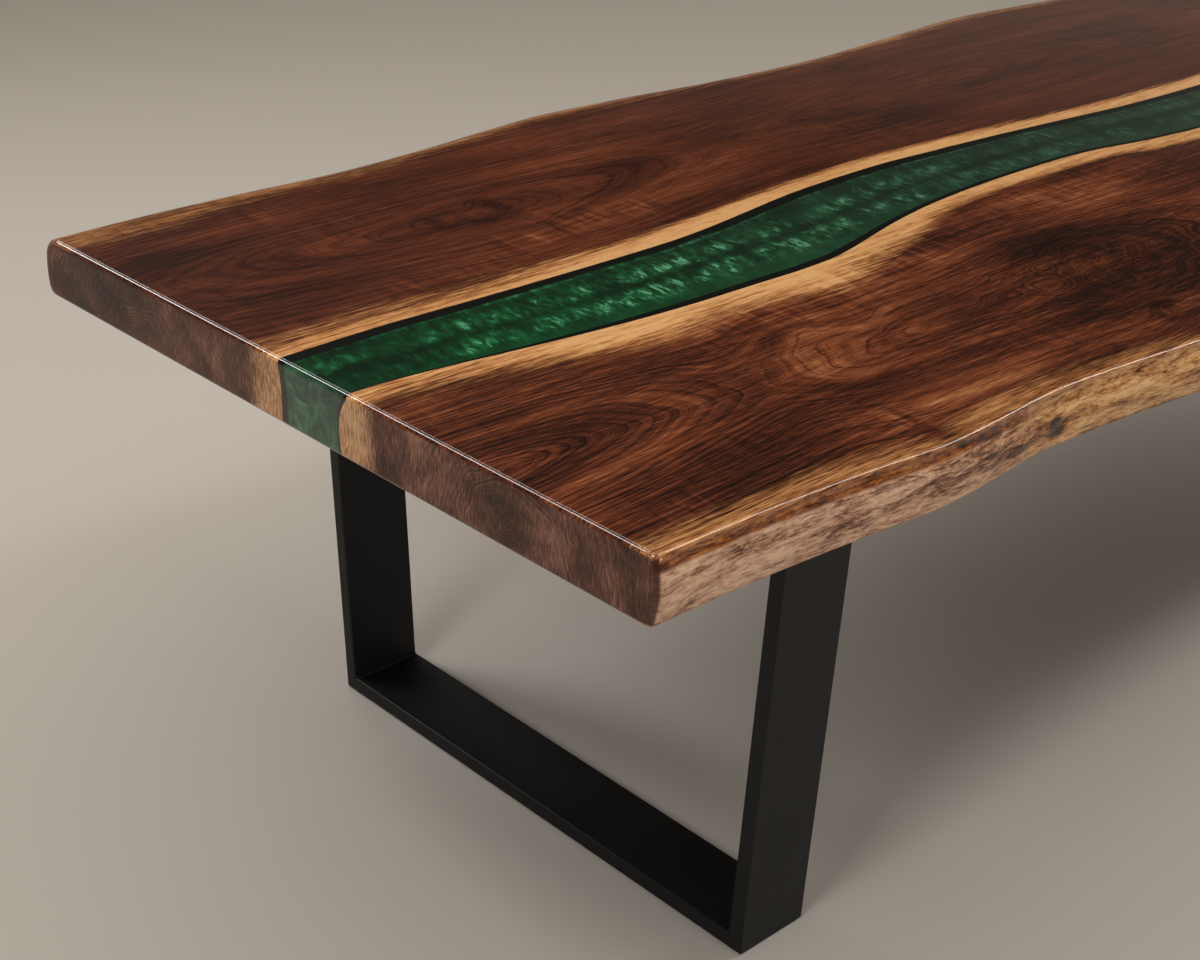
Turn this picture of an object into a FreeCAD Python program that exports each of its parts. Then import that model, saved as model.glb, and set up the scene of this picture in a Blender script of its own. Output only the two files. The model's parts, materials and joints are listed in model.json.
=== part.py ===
import FreeCAD, Part
import math
import os

# Live edge river table: two walnut slabs, a poured resin river between them, and two
# welded frames of flat steel tube. Millimetres. X runs along the table, Y across it and
# Z up. The origin is on the floor, under the middle of the table's overall outline.

Vector = FreeCAD.Vector

# driving dimensions
table_length = 2800.0
table_height = 750.0
top_thickness = 80.0
end_round = 5.0            # radius round the sawn ends
front_edge_round = 7.0     # sanded radius of the front live edge, top and bottom
rear_brow_round = 24.0     # natural rounding of the rear live edge, top
rear_belly_round = 14.0    # and bottom

leg_setback = 335.0        # from a sawn end to the outer face of its leg
leg_depth = 115.0          # wide face of the flat tube, along the table
tube_height = 22.0         # narrow face of the flat tube
tube_wall = 3.0
tube_corner = 3.0
leg_foot_width = 820.0     # across the floor bar
leg_splay = math.atan2(40.0, 750.0)    # lean of each upright, outwards as it rises
rail_thickness = 8.0       # steel rail bolted under the slabs
weld_size = 5.0
glide_thickness = 2.0
glide_length = 90.0
glide_inset = 6.0

channel_width = 40.0
channel_depth = 20.0
channel_wall = 3.0
channel_length = 900.0
channel_proud = 1.0        # how far the web stands below the underside
channel_clearance = 1.0
channel_places = (-640.0, 0.0, 640.0)
channel_bolt_places = (-400.0, -220.0, 170.0, 400.0)
channel_bolt_radius = 3.0  # M6
channel_head_height = 4.0
channel_insert_radius = 5.0
channel_insert_length = 14.0

leg_bolt_radius = 4.0      # M8
leg_bolt_length = 25.0
leg_head_height = 5.3
leg_bolt_places = ((28.0, -350.0), (28.0, 350.0),
                   (87.0, -350.0), (87.0, 350.0))      # from the rail's outer edge, and Y
leg_insert_radius = 7.0
leg_insert_length = 20.0
washer_radius = 9.0
washer_thickness = 1.6
slot_travel = 8.0          # the bolts slide this far in their slots as the wood moves
slot_gap = 0.5
thread_gap = 0.1
drill_tip = 5.0            # how much deeper than its insert a hole is

underside = table_height - top_thickness
half_length = table_length / 2
half_foot = leg_foot_width / 2
rail_bottom = underside - rail_thickness
channel_bottom = underside - channel_proud

# Plan of the four live edges: distance from the near sawn end, and Y of the top arris.
front_outer = ((0, -570), (150, -573), (300, -583), (410, -593), (600, -583), (700, -589),
               (830, -603), (960, -617), (1060, -620), (1200, -612), (1400, -594),
               (1600, -578), (1800, -570), (2000, -573), (2200, -580), (2500, -576),
               (2800, -583))
front_inner = ((0, -94), (75, -97), (300, -128), (450, -142), (600, -146), (680, -147),
               (750, -141), (900, -104), (1000, -86), (1130, -75), (1300, -73),
               (1400, -80), (1500, -99), (1600, -112), (1750, -122), (1880, -123),
               (2200, -106), (2500, -98), (2800, -104))
rear_inner = ((0, 35), (150, 39), (300, 35), (450, 33), (600, 34), (680, 40), (750, 50),
              (900, 72), (1080, 80), (1200, 74), (1350, 64), (1500, 50), (1650, 36),
              (1800, 30), (1950, 32), (2100, 39), (2300, 46), (2500, 48), (2800, 41))
rear_outer = ((0, 538), (150, 546), (300, 545), (450, 540), (600, 550), (750, 568),
              (870, 580), (1050, 571), (1200, 556), (1400, 548), (1530, 551),
              (1700, 567), (1950, 586), (2180, 567), (2320, 552), (2500, 547), (2800, 556))

# How far each edge swells past its top arris, and how far it is drawn in at the bottom.
front_outer_swell = ((0, 6), (800, 5), (1060, 6), (2800, 8))
front_outer_tuck = ((0, 8), (450, 9), (850, 19), (1400, 12), (2800, 10))
front_inner_swell = ((0, 15), (700, 8), (1250, 14), (1900, 9), (2500, 13), (2800, 11))
rear_inner_swell = ((0, 5), (600, 12), (1100, 7), (1700, 14), (2500, 8), (2800, 11))
rear_outer_swell = ((0, 34), (450, 28), (900, 33), (1400, 26), (1950, 39), (2500, 30), (2800, 32))

# Share of its swell at which each control point of an inner edge stands, top to bottom.
inner_form = (0.0, 1.32, 1.01, 0.84)

section_spacing = 165.0    # between the slab sections that are lofted
end_allowance = 10.0       # the blanks run past the saw cuts
planing_allowance = 10.0   # and stand above and below the finished board


def along(knots, distance):
    """Smooth curve through the knots: a cubic between two, with each knot's slope
    taken from its neighbours."""
    last = len(knots) - 1
    i = 0
    while i < last - 1 and distance > knots[i + 1][0]:
        i += 1
    (s0, y0), (s1, y1) = knots[i], knots[i + 1]

    def slope(k):
        (a, ya), (b, yb) = knots[max(k - 1, 0)], knots[min(k + 1, last)]
        return (yb - ya) / (b - a)

    span = s1 - s0
    t = (distance - s0) / span
    return (y0 * (2 * t**3 - 3 * t**2 + 1) + y1 * (3 * t**2 - 2 * t**3)
            + span * (slope(i) * (t**3 - 2 * t**2 + t) + slope(i + 1) * (t**3 - t**2)))


def bezier(points):
    curve = Part.BezierCurve()
    curve.setPoles(points)
    return curve.toShape()


def inner_edge(s, plan, swell, outwards):
    """Live edge beside the river, from the top down: one curve that swells towards the
    resin (outwards, 1 or -1)."""
    x, y = s - half_length, along(plan, s)
    step = top_thickness / 3
    return [bezier([Vector(x, y + outwards * share * along(swell, s), table_height - k * step)
                    for k, share in enumerate(inner_form)])]


def rounded_edge(x, top, face, bottom, outwards, top_round, bottom_round):
    """Outer live edge from the top down: a rounding that leaves the top level at the Y
    given, the face between its four control points, and a rounding into the underside."""
    pull = 0.55
    down = Vector(0, 0, -1)
    brow_start = Vector(x, top, table_height)
    belly_end = Vector(x, bottom, underside)
    face_points = [Vector(x, y, z) for y, z in face]
    brow_lean = (face_points[0] - face_points[1]).normalize() * (pull * top_round)
    belly_lean = (face_points[3] - face_points[2]).normalize() * (pull * bottom_round)
    brow = [brow_start, brow_start + Vector(0, outwards * pull * abs(face[0][0] - top), 0),
            face_points[0] + brow_lean, face_points[0]]
    belly = [face_points[3], face_points[3] + belly_lean,
             belly_end + Vector(0, outwards * pull * abs(face[3][0] - bottom), 0), belly_end]
    return [Part.makeLine(brow_start - down * planing_allowance, brow_start), bezier(brow),
            bezier(face_points), bezier(belly),
            Part.makeLine(belly_end, belly_end + down * planing_allowance)]


def front_outer_edge(s):
    """Nearly upright, sanded to an even radius, drawn in at the bottom."""
    arris, swell, tuck = along(front_outer, s), along(front_outer_swell, s), along(front_outer_tuck, s)
    high, low = table_height - front_edge_round, underside + front_edge_round
    third = (high - low) / 3
    foot = arris - 0.85 * swell + 0.75 * tuck
    face = [(arris - 0.3 * swell, high), (arris - 1.4 * swell, high - third),
            (arris - 1.15 * swell + 0.1 * tuck, low + third), (foot, low)]
    return rounded_edge(s - half_length, face[0][0] + front_edge_round, face, foot + front_edge_round,
                        -1, front_edge_round, front_edge_round)


def rear_outer_edge(s):
    """Bulging, with a broad natural brow above and a smaller belly below."""
    arris, swell = along(rear_outer, s), along(rear_outer_swell, s)
    high, low = table_height - rear_brow_round, underside + rear_belly_round
    third = (high - low) / 3
    face = [(arris + 0.93 * swell, high), (arris + swell, high - third),
            (arris + swell, low + third), (arris + 0.95 * swell, low)]
    return rounded_edge(s - half_length, arris, face, face[3][0] - rear_belly_round,
                        1, rear_brow_round, rear_belly_round)


def raised_inner_edge(s, plan, swell, outwards):
    """An inner edge with short straight ends that reach past both faces of the board."""
    edge = inner_edge(s, plan, swell, outwards)
    top, bottom = edge[0].Vertexes[0].Point, edge[0].Vertexes[-1].Point
    allowance = Vector(0, 0, planing_allowance)
    return [Part.makeLine(top + allowance, top)] + edge + [Part.makeLine(bottom, bottom - allowance)]


def front_inner_edge(s):
    return raised_inner_edge(s, front_inner, front_inner_swell, 1)


def rear_inner_edge(s):
    return raised_inner_edge(s, rear_inner, rear_inner_swell, -1)


def blank(first_edge, second_edge):
    """A slab before planing: sections between two live edges, lofted from end to end."""
    count = round(table_length / section_spacing)
    reach = table_length + 2 * end_allowance
    wires = []
    for k in range(count + 1):
        s = k * reach / count - end_allowance
        down, up = first_edge(s), second_edge(s)[::-1]
        low = Part.makeLine(down[-1].Vertexes[-1].Point, up[0].Vertexes[-1].Point)
        high = Part.makeLine(up[-1].Vertexes[0].Point, down[0].Vertexes[0].Point)
        wires.append(Part.Wire(down + [low] + up + [high]))
    return Part.makeLoft(wires, True, True)


def board():
    """The planed and sawn board, with rounded ends, that both slabs and the resin fill."""
    reach = 1400.0
    planed = Part.makeBox(table_length, reach, top_thickness, Vector(-half_length, -reach / 2, underside))
    ends = [edge for edge in planed.Edges if edge.BoundBox.YLength > reach / 2]
    return planed.makeFillet(end_round, ends)


def prism(centre, radius, height, flats=12, travel=0.0):
    """Upright prism with that many flats. With travel, its halves stand that far apart
    across the table. Threads, washers and slots are drawn with twelve flats each, so
    that the many small pieces stay light."""
    points = []
    for k in range(flats):
        angle = 2 * math.pi * (k + 0.5) / flats
        x, y = radius * math.cos(angle), radius * math.sin(angle)
        points.append(centre + Vector(x, y + math.copysign(travel / 2, y), 0))
    return Part.Face(Part.makePolygon(points + points[:1])).extrude(Vector(0, 0, height))


def bolt(x, y, seat, radius, length, head_height):
    """Hexagon bolt whose head hangs below its seat and whose shank goes up."""
    head_radius = 1.9 * radius
    head = prism(Vector(x, y, seat - head_height), head_radius, head_height, 6)
    return head.fuse(prism(Vector(x, y, seat), radius, length))


def insert(x, y, mouth, radius, length, bolt_radius):
    """Threaded insert: a sleeve screwed into the wood, flush with its mouth."""
    place = Vector(x, y, mouth)
    return prism(place, radius, length).cut(prism(place, bolt_radius + thread_gap, length))


def washer(x, y):
    place = Vector(x, y, rail_bottom - washer_thickness)
    hole = prism(place, leg_bolt_radius + thread_gap, washer_thickness)
    return prism(place, washer_radius, washer_thickness).cut(hole)


def channel(x):
    """Steel channel let into the underside across both slabs, its web outwards."""
    outer = Part.makeBox(channel_width, channel_length, channel_depth,
                         Vector(x - channel_width / 2, -channel_length / 2, channel_bottom))
    corners = [edge for edge in outer.Edges if edge.BoundBox.YLength > channel_width
               and edge.BoundBox.ZMax < underside]
    inner_width = channel_width - 2 * channel_wall
    inner = Part.makeBox(inner_width, channel_length, channel_depth,
                         Vector(x - inner_width / 2, -channel_length / 2, channel_bottom + channel_wall))
    steel = outer.makeFillet(0.8 * channel_wall, corners).cut(inner)
    for y in channel_bolt_places:
        steel = steel.cut(prism(Vector(x, y, channel_bottom), channel_bolt_radius + slot_gap,
                                channel_wall, travel=slot_travel))
    return steel


def channel_grooves(x):
    """What is routed out for one channel: a shallow bed for the web and two deep slots."""
    gap = channel_clearance
    reach = channel_length + 2 * gap
    low = x - channel_width / 2 - gap
    high = x + channel_width / 2 - channel_wall - gap
    slot_width = channel_wall + 2 * gap
    bed = Part.makeBox(channel_width + 2 * gap, reach, channel_wall - channel_proud,
                       Vector(low, -reach / 2, underside))
    slots = [Part.makeBox(slot_width, reach, channel_depth - channel_proud + gap,
                          Vector(edge, -reach / 2, underside)) for edge in (low, high)]
    return [bed] + slots


def flat_tube(length):
    """Hollow flat tube rising from the origin: leg_depth along X, tube_height towards -Y."""
    tube = Part.makeBox(leg_depth, tube_height, length, Vector(0, -tube_height, 0))
    tube = tube.makeFillet(tube_corner, [edge for edge in tube.Edges if edge.BoundBox.ZLength > length / 2])
    hollow = Part.makeBox(leg_depth - 2 * tube_wall, tube_height - 2 * tube_wall, length,
                          Vector(tube_wall, tube_wall - tube_height, 0))
    return tube.cut(hollow)


# Corners of one half of the leg frame in its own plane, as (Y, Z).
lean = math.tan(leg_splay)
upright_width = tube_height / math.cos(leg_splay)
bar_top = glide_thickness + tube_height
outer_corner = (half_foot, glide_thickness)
outer_top = (half_foot + lean * (rail_bottom - glide_thickness), rail_bottom)
inner_corner = (half_foot + lean * tube_height - upright_width, bar_top)
inner_top = (outer_top[0] - upright_width, rail_bottom)


def frame_prism(corners):
    points = [Vector(0, y, z) for y, z in corners]
    return Part.Face(Part.makePolygon(points + points[:1])).extrude(Vector(leg_depth, 0, 0))


def mirrored(shape):
    """The same shape on the other side of the table's middle plane."""
    return shape.mirror(Vector(0, 0, 0), Vector(0, 1, 0))


def upright():
    """Leaning flat tube on the +Y side, mitred onto the floor bar and level under the rail."""
    tube = flat_tube(table_height)
    tube.translate(Vector(0, 0, -tube_height))
    tube.rotate(Vector(0, 0, 0), Vector(1, 0, 0), -math.degrees(leg_splay))
    tube.translate(Vector(0, outer_corner[0], outer_corner[1]))
    return tube.common(frame_prism([outer_corner, outer_top, inner_top, inner_corner]))


def floor_bar():
    """Flat tube on the floor, mitred at both ends."""
    tube = flat_tube(leg_foot_width)
    tube.rotate(Vector(0, 0, 0), Vector(1, 0, 0), -90)
    tube.translate(Vector(0, -half_foot, bar_top - tube.BoundBox.ZMax))
    across = [(-y, z) for y, z in (inner_corner, outer_corner)]
    return tube.common(frame_prism([outer_corner, inner_corner] + across))


def rail():
    """Flat steel rail over the uprights, slotted so that the wood can move."""
    half = outer_top[0]
    steel = Part.makeBox(leg_depth, 2 * half, rail_thickness, Vector(0, -half, rail_bottom))
    corners = [edge for edge in steel.Edges if edge.BoundBox.ZLength > rail_thickness / 2]
    steel = steel.makeFillet(tube_corner, corners)
    for x, y in leg_bolt_places:
        steel = steel.cut(prism(Vector(x, y, rail_bottom), leg_bolt_radius + slot_gap,
                                rail_thickness, travel=slot_travel))
    return steel


def weld_bead(corner, along_flat, along_upright):
    """Bead in an inside corner of the frame, slightly swollen, along the tube's width."""
    root = Vector(tube_corner, corner[0], corner[1])
    a = root + along_flat * weld_size
    b = root + along_upright * weld_size
    crown = (a + b) * 0.5 + (a + b - root * 2).normalize() * (0.12 * weld_size)
    outline = Part.Wire([Part.makeLine(root, a), Part.Arc(a, crown, b).toShape(), Part.makeLine(b, root)])
    return Part.Face(outline).extrude(Vector(leg_depth - 2 * tube_corner, 0, 0))


def welds():
    inward = Vector(0, -1, 0)
    up = Vector(0, math.sin(leg_splay), math.cos(leg_splay))
    beads = [weld_bead(inner_corner, inward, up), weld_bead(inner_top, inward, up * -1)]
    return Part.Compound(beads + [mirrored(bead) for bead in beads])


def glides():
    """Hard nylon strips under the ends of the floor bar."""
    strip = Part.makeBox(leg_depth - 2 * glide_inset, glide_length, glide_thickness,
                         Vector(glide_inset, half_foot - glide_inset - glide_length, 0))
    corners = [edge for edge in strip.Edges if edge.BoundBox.ZLength > glide_thickness / 2]
    strip = strip.makeChamfer(glide_inset, corners)
    return Part.Compound([strip, mirrored(strip)])


def leg_bolt_points(start):
    return [(start + x, y) for x, y in leg_bolt_places]


def channel_bolt_points():
    return [(x, y) for x in channel_places for y in channel_bolt_places]


def leg(start):
    """Every piece of one leg, whose tube starts at X = start."""
    points = leg_bolt_points(start)
    frame = {"floor_bar": floor_bar(), "front_upright": mirrored(upright()), "rear_upright": upright(),
             "top_rail": rail(), "welds": welds(), "glides": glides()}
    for shape in frame.values():
        shape.translate(Vector(start, 0, 0))
    seat = rail_bottom - washer_thickness
    frame["bolts"] = Part.Compound([bolt(x, y, seat, leg_bolt_radius, leg_bolt_length, leg_head_height)
                                    for x, y in points])
    frame["washers"] = Part.Compound([washer(x, y) for x, y in points])
    frame["inserts"] = Part.Compound([insert(x, y, underside, leg_insert_radius, leg_insert_length,
                                             leg_bolt_radius) for x, y in points])
    return frame


leg_starts = {"near": -half_length + leg_setback, "far": half_length - leg_setback - leg_depth}
insert_mouth = channel_bottom + channel_wall


def underside_cuts():
    """Everything that is routed or drilled into the underside."""
    cuts = []
    for x in channel_places:
        cuts += channel_grooves(x)
    for x, y in channel_bolt_points():
        cuts.append(prism(Vector(x, y, underside), channel_insert_radius,
                          insert_mouth - underside + channel_insert_length + drill_tip))
    for start in leg_starts.values():
        for x, y in leg_bolt_points(start):
            cuts.append(prism(Vector(x, y, underside), leg_insert_radius, leg_insert_length + drill_tip))
    return cuts


def machined(piece):
    reach = piece.BoundBox
    touching = [cut for cut in underside_cuts() if reach.intersect(cut.BoundBox)]
    return piece.cut(Part.Compound(touching)).Solids[0]


front_blank = blank(front_outer_edge, front_inner_edge)
rear_blank = blank(rear_inner_edge, rear_outer_edge)
planed_board = board()
# The resin is cast between the slabs, so its sides are the exact negative of theirs.
river = min(planed_board.cut(front_blank).cut(rear_blank).Solids, key=lambda solid: abs(solid.CenterOfMass.y))

parts = {
    "front_slab": machined(planed_board.common(front_blank)),
    "rear_slab": machined(planed_board.common(rear_blank)),
    "river_resin": machined(river),
    "channel_bolts": Part.Compound([
        bolt(x, y, channel_bottom, channel_bolt_radius, channel_insert_length + channel_wall,
             channel_head_height) for x, y in channel_bolt_points()]),
    "channel_inserts": Part.Compound([
        insert(x, y, insert_mouth, channel_insert_radius, channel_insert_length, channel_bolt_radius)
        for x, y in channel_bolt_points()]),
}
for name, x in zip(("near", "middle", "far"), channel_places):
    parts[name + "_channel"] = channel(x)
for end, start in leg_starts.items():
    for name, shape in leg(start).items():
        parts[end + "_leg_" + name] = shape

os.makedirs("parts", exist_ok=True)
for name, shape in parts.items():
    shape.exportStep("parts/" + name + ".step")
    box = shape.optimalBoundingBox(True, False)
    print(f"{name}: {len(shape.Solids)} solid(s), {'valid' if shape.isValid() else 'NOT VALID'}, "
          f"{shape.Volume / 1000:.1f} cm3, X {box.XMin:.1f}..{box.XMax:.1f}, "
          f"Y {box.YMin:.1f}..{box.YMax:.1f}, Z {box.ZMin:.1f}..{box.ZMax:.1f}")
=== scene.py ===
import json
import math
from functools import partial
import bpy
import numpy as np
from mathutils import Matrix, Quaternion, Vector


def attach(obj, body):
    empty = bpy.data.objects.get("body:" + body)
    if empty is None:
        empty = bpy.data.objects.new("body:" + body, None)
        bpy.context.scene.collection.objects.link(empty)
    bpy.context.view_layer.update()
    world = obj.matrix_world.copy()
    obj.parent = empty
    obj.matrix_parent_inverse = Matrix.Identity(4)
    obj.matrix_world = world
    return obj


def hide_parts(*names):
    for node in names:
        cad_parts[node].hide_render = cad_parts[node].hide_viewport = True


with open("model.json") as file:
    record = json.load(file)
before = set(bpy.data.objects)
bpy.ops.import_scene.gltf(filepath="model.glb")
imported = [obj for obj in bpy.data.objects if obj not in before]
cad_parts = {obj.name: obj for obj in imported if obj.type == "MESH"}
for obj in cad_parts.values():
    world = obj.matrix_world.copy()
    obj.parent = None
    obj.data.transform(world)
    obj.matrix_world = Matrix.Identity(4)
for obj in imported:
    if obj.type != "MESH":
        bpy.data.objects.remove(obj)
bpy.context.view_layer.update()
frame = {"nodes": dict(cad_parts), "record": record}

# Live edge river table. Shapes are worked out in millimetres in the CAD's frame and turned
# to metres as they enter a mesh. Distances along the table start at its near sawn end.

mm = 0.001

board = {
    "length": 2800.0,
    "top": 750.0,
    "thickness": 80.0,
    "endRound": 7.0,        # radius where the top and underside meet a sawn end
    "cornerRound": 11.0,    # radius where a live edge meets a sawn end
    "endSections": (0.0, 0.2, 0.7, 1.4, 2.4, 3.6, 5.0, 6.8, 9.0),
    "spacing": 8.0,         # of the other cross sections along the table
    "slabCount": 58,        # points over the top of a slab
    "riverCount": 34,       # and of the river
    "sideCount": 40,        # points down an edge
    "browCount": 11,        # of which in the upper rounding
    "bellyCount": 8,        # and in the lower one
}

# settings that many nodes share
smooth = {"interpolation_type": "SMOOTHSTEP"}
times = {"operation": "MULTIPLY"}
timesPlus = {"operation": "MULTIPLY_ADD"}
sizeOf = {"operation": "ABSOLUTE"}


def linear(hexColour):
    # sRGB hex to the linear colour that a shader socket takes
    parts = [int(hexColour[i:i + 2], 16) / 255 for i in (1, 3, 5)]
    return [c / 12.92 if c <= 0.04045 else ((c + 0.055) / 1.055) ** 2.4 for c in parts] + [1.0]


def connect(node, inputs):
    # Inputs go by place or by name, each a value, a socket, or a node whose first output in
    # use is linked. A Mix has its two values on 2 and 3, or its two colours on 6 and 7.
    for key, value in inputs.items() if isinstance(inputs, dict) else enumerate(inputs):
        if isinstance(value, bpy.types.Node):
            value = next(socket for socket in value.outputs if socket.enabled)
        if isinstance(value, bpy.types.NodeSocket):
            node.id_data.links.new(value, node.inputs[key])
        else:
            node.inputs[key].default_value = value


def add(tree, kind, inputs=(), stops=(), **settings):
    # One shader node. A colour ramp's stops are (position, hex) pairs.
    node = tree.nodes.new("ShaderNode" + kind)
    for key, value in settings.items():
        setattr(node, key, value)
    for k, (position, hexColour) in enumerate(stops):
        ramp = node.color_ramp.elements
        element = ramp[k] if k < 2 else ramp.new(position)      # a new ramp has two already
        element.position, element.color = position, linear(hexColour)
    connect(node, inputs)
    return node


def weightedSum(new, values, start, weights):
    # start plus each named value times its weight
    for key, weight in weights.items():
        start = new("Math", (values[key], weight, start), **timesPlus)
    return start


def newMaterial(name):
    # The material, what adds a node to it, and its shader
    material = bpy.data.materials.new(name)
    material.use_nodes = True
    tree = material.node_tree
    return material, partial(add, tree), tree.nodes["Principled BSDF"]


def along(knots, s):
    # Cubic through the knots, each knot's slope taken from its two neighbours
    x, y = np.array(knots, float).T
    slope = np.empty_like(y)
    slope[1:-1] = (y[2:] - y[:-2]) / (x[2:] - x[:-2])
    slope[0] = (y[1] - y[0]) / (x[1] - x[0])
    slope[-1] = (y[-1] - y[-2]) / (x[-1] - x[-2])
    s = np.clip(s, x[0], x[-1])
    i = np.clip(np.searchsorted(x, s, side="right") - 1, 0, len(x) - 2)
    span = x[i + 1] - x[i]
    t = (s - x[i]) / span
    return (y[i] * (2 * t**3 - 3 * t**2 + 1) + y[i + 1] * (3 * t**2 - 2 * t**3)
            + span * (slope[i] * (t**3 - 2 * t**2 + t) + slope[i + 1] * (t**3 - t**2)))


def bump(x, y, place):
    # Gaussian hill of height 1: place is centre x, centre y, half width along, half width across
    return np.exp(-((x - place[0]) / place[2])**2 - ((y - place[1]) / place[3])**2)


def waves(u, v, seed, longest, shortest, count=24):
    # Smooth seeded noise of about unit size: a sum of cosines in random directions, whose
    # wavelengths run from longest to shortest and whose heights follow them
    rng = np.random.default_rng(seed)
    total = np.zeros(np.broadcast(u, v).shape)
    power = 0.0
    for k in range(count):
        wavelength = longest * (shortest / longest) ** (k / (count - 1))
        height = math.sqrt(wavelength / longest)
        angle, phase = rng.uniform(0, 2 * math.pi, 2)
        distance = u * math.cos(angle) + v * math.sin(angle)
        total += height * np.cos(2 * math.pi * distance / wavelength + phase)
        power += height**2 / 2
    return total / math.sqrt(power)


# Plan of the live edges, as in the CAD: distance from the near end, Y of the top arris
edges = {
    "frontOuter": (
        (0, -570), (150, -573), (300, -583), (410, -593), (600, -583), (700, -589), (830, -603),
        (960, -617), (1060, -620), (1200, -612), (1400, -594), (1600, -578), (1800, -570),
        (2000, -573), (2200, -580), (2500, -576), (2800, -583)),
    "frontInner": (
        (0, -94), (75, -97), (300, -128), (450, -142), (600, -146), (680, -147), (750, -141),
        (900, -104), (1000, -86), (1130, -75), (1300, -73), (1400, -80), (1500, -99), (1600, -112),
        (1750, -122), (1880, -123), (2200, -106), (2500, -98), (2800, -104)),
    "rearInner": (
        (0, 35), (150, 39), (300, 35), (450, 33), (600, 34), (680, 40), (750, 50), (900, 72),
        (1080, 80), (1200, 74), (1350, 64), (1500, 50), (1650, 36), (1800, 30), (1950, 32),
        (2100, 39), (2300, 46), (2500, 48), (2800, 41)),
    "rearOuter": (
        (0, 538), (150, 546), (300, 545), (450, 540), (600, 550), (750, 568), (870, 580),
        (1050, 571), (1200, 556), (1400, 548), (1530, 551), (1700, 567), (1950, 586), (2180, 567),
        (2320, 552), (2500, 547), (2800, 556)),
    "frontOuterSwell": ((0, 6), (800, 5), (1060, 6), (2800, 8)),
    "frontOuterTuck": ((0, 8), (450, 9), (850, 19), (1400, 12), (2800, 10)),
    "frontInnerSwell": ((0, 15), (700, 8), (1250, 14), (1900, 9), (2500, 13), (2800, 11)),
    "rearInnerSwell": ((0, 5), (600, 12), (1100, 7), (1700, 14), (2500, 8), (2800, 11)),
    "rearOuterSwell": (
        (0, 34), (450, 28), (900, 33), (1400, 26), (1950, 39), (2500, 30), (2800, 32)),
    # what is added to the arris at four control points down an edge: shares of the swell, and
    # for the front outer edge of the tuck too
    "innerForm": (0.0, 1.32, 1.01, 0.84),
    "frontForm": ((-0.3, 0.0), (-1.4, 0.0), (-1.15, 0.1), (-0.85, 0.75)),
    "rearForm": (0.93, 1.0, 1.0, 0.95),
    "frontRound": 7.0,      # radius of the sanded roundings
    "rearBrow": 24.0,       # height of the natural rounding above
    "rearBelly": 14.0,      # and of the one below
    "pull": 0.55,           # handle of a rounding, as a share of its size
}


def bezier(points, t):
    # Cubic curve through a control polygon: points is four (rows, 2) arrays, t the places on it
    a, b, c, d = [p[:, None, :] for p in points]
    t = t[None, :, None]
    return (1 - t)**3 * a + 3 * (1 - t)**2 * t * b + 3 * (1 - t) * t**2 * c + t**3 * d


def pair(y, z):
    return np.stack(np.broadcast_arrays(y, z), -1).astype(float)


def innerSide(s, plan, outwards):
    # Edge beside the river: Y moves outwards by a share of the swell, Z falls evenly
    y, rise = along(edges[plan], s), along(edges[plan + "Swell"], s) * outwards
    levels = np.linspace(board["top"], board["top"] - board["thickness"], 4)
    points = [pair(y + share * rise, z) for share, z in zip(edges["innerForm"], levels)]
    return bezier(points, np.linspace(0, 1, board["sideCount"]))


def frontInnerSide(s):
    return innerSide(s, "frontInner", 1)


def rearInnerSide(s):
    return innerSide(s, "rearInner", -1)


def outerSide(top, face, bottom, outwards, topRound, bottomRound):
    # Rounding from the level top, the face, and a rounding into the underside, joined
    high, low, pull = board["top"], board["top"] - board["thickness"], edges["pull"]

    def handle(a, b, reach):
        # from a, straight away from b
        way = a - b
        return a + way / np.linalg.norm(way, axis=1, keepdims=True) * pull * reach

    upper, lower = face[0], face[3]
    brow = [pair(top, high), pair(top + outwards * pull * abs(upper[:, 0] - top), high),
            handle(upper, face[1], topRound), upper]
    belly = [lower, handle(lower, face[2], bottomRound),
             pair(bottom + outwards * pull * abs(lower[:, 0] - bottom), low), pair(bottom, low)]
    browCount, bellyCount = board["browCount"], board["bellyCount"]
    faceCount = board["sideCount"] - browCount - bellyCount
    return np.concatenate([bezier(brow, np.linspace(0, 1, browCount)),
                           bezier(face, np.linspace(0, 1, faceCount + 2)[1:-1]),
                           bezier(belly, np.linspace(0, 1, bellyCount))], axis=1)


def frontOuterSide(s):
    # Nearly upright, sanded to an even radius, drawn in at the bottom
    arris = along(edges["frontOuter"], s)
    swell, tuck = along(edges["frontOuterSwell"], s), along(edges["frontOuterTuck"], s)
    r = edges["frontRound"]
    levels = np.linspace(board["top"] - r, board["top"] - board["thickness"] + r, 4)
    face = [pair(arris + a * swell + b * tuck, z) for (a, b), z in zip(edges["frontForm"], levels)]
    return outerSide(face[0][:, 0] + r, face, face[3][:, 0] + r, -1, r, r)


def rearOuterSide(s):
    # Bulging, with a broad natural brow above and a smaller belly below
    arris, swell = along(edges["rearOuter"], s), along(edges["rearOuterSwell"], s)
    brow, belly = edges["rearBrow"], edges["rearBelly"]
    levels = np.linspace(board["top"] - brow, board["top"] - board["thickness"] + belly, 4)
    face = [pair(arris + a * swell, z) for a, z in zip(edges["rearForm"], levels)]
    return outerSide(arris, face, face[3][:, 0] - belly, 1, brow, belly)


def stations():
    # Distances of the cross sections: close together in the end roundings, then even
    near, length = np.array(board["endSections"]), board["length"]
    count = int(round((length - 2 * near[-1]) / board["spacing"]))
    middle = np.linspace(near[-1], length - near[-1], count + 1)[1:-1]
    return np.concatenate([near, middle, length - near[::-1]])


def drop(s, radius):
    # How far a quarter round of that radius lies inside its corner, near either sawn end
    fromEnd = np.clip(np.minimum(s, board["length"] - s), 0, radius)
    return (radius - np.sqrt(np.maximum(radius**2 - (radius - fromEnd)**2, 0)))[:, None]


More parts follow.
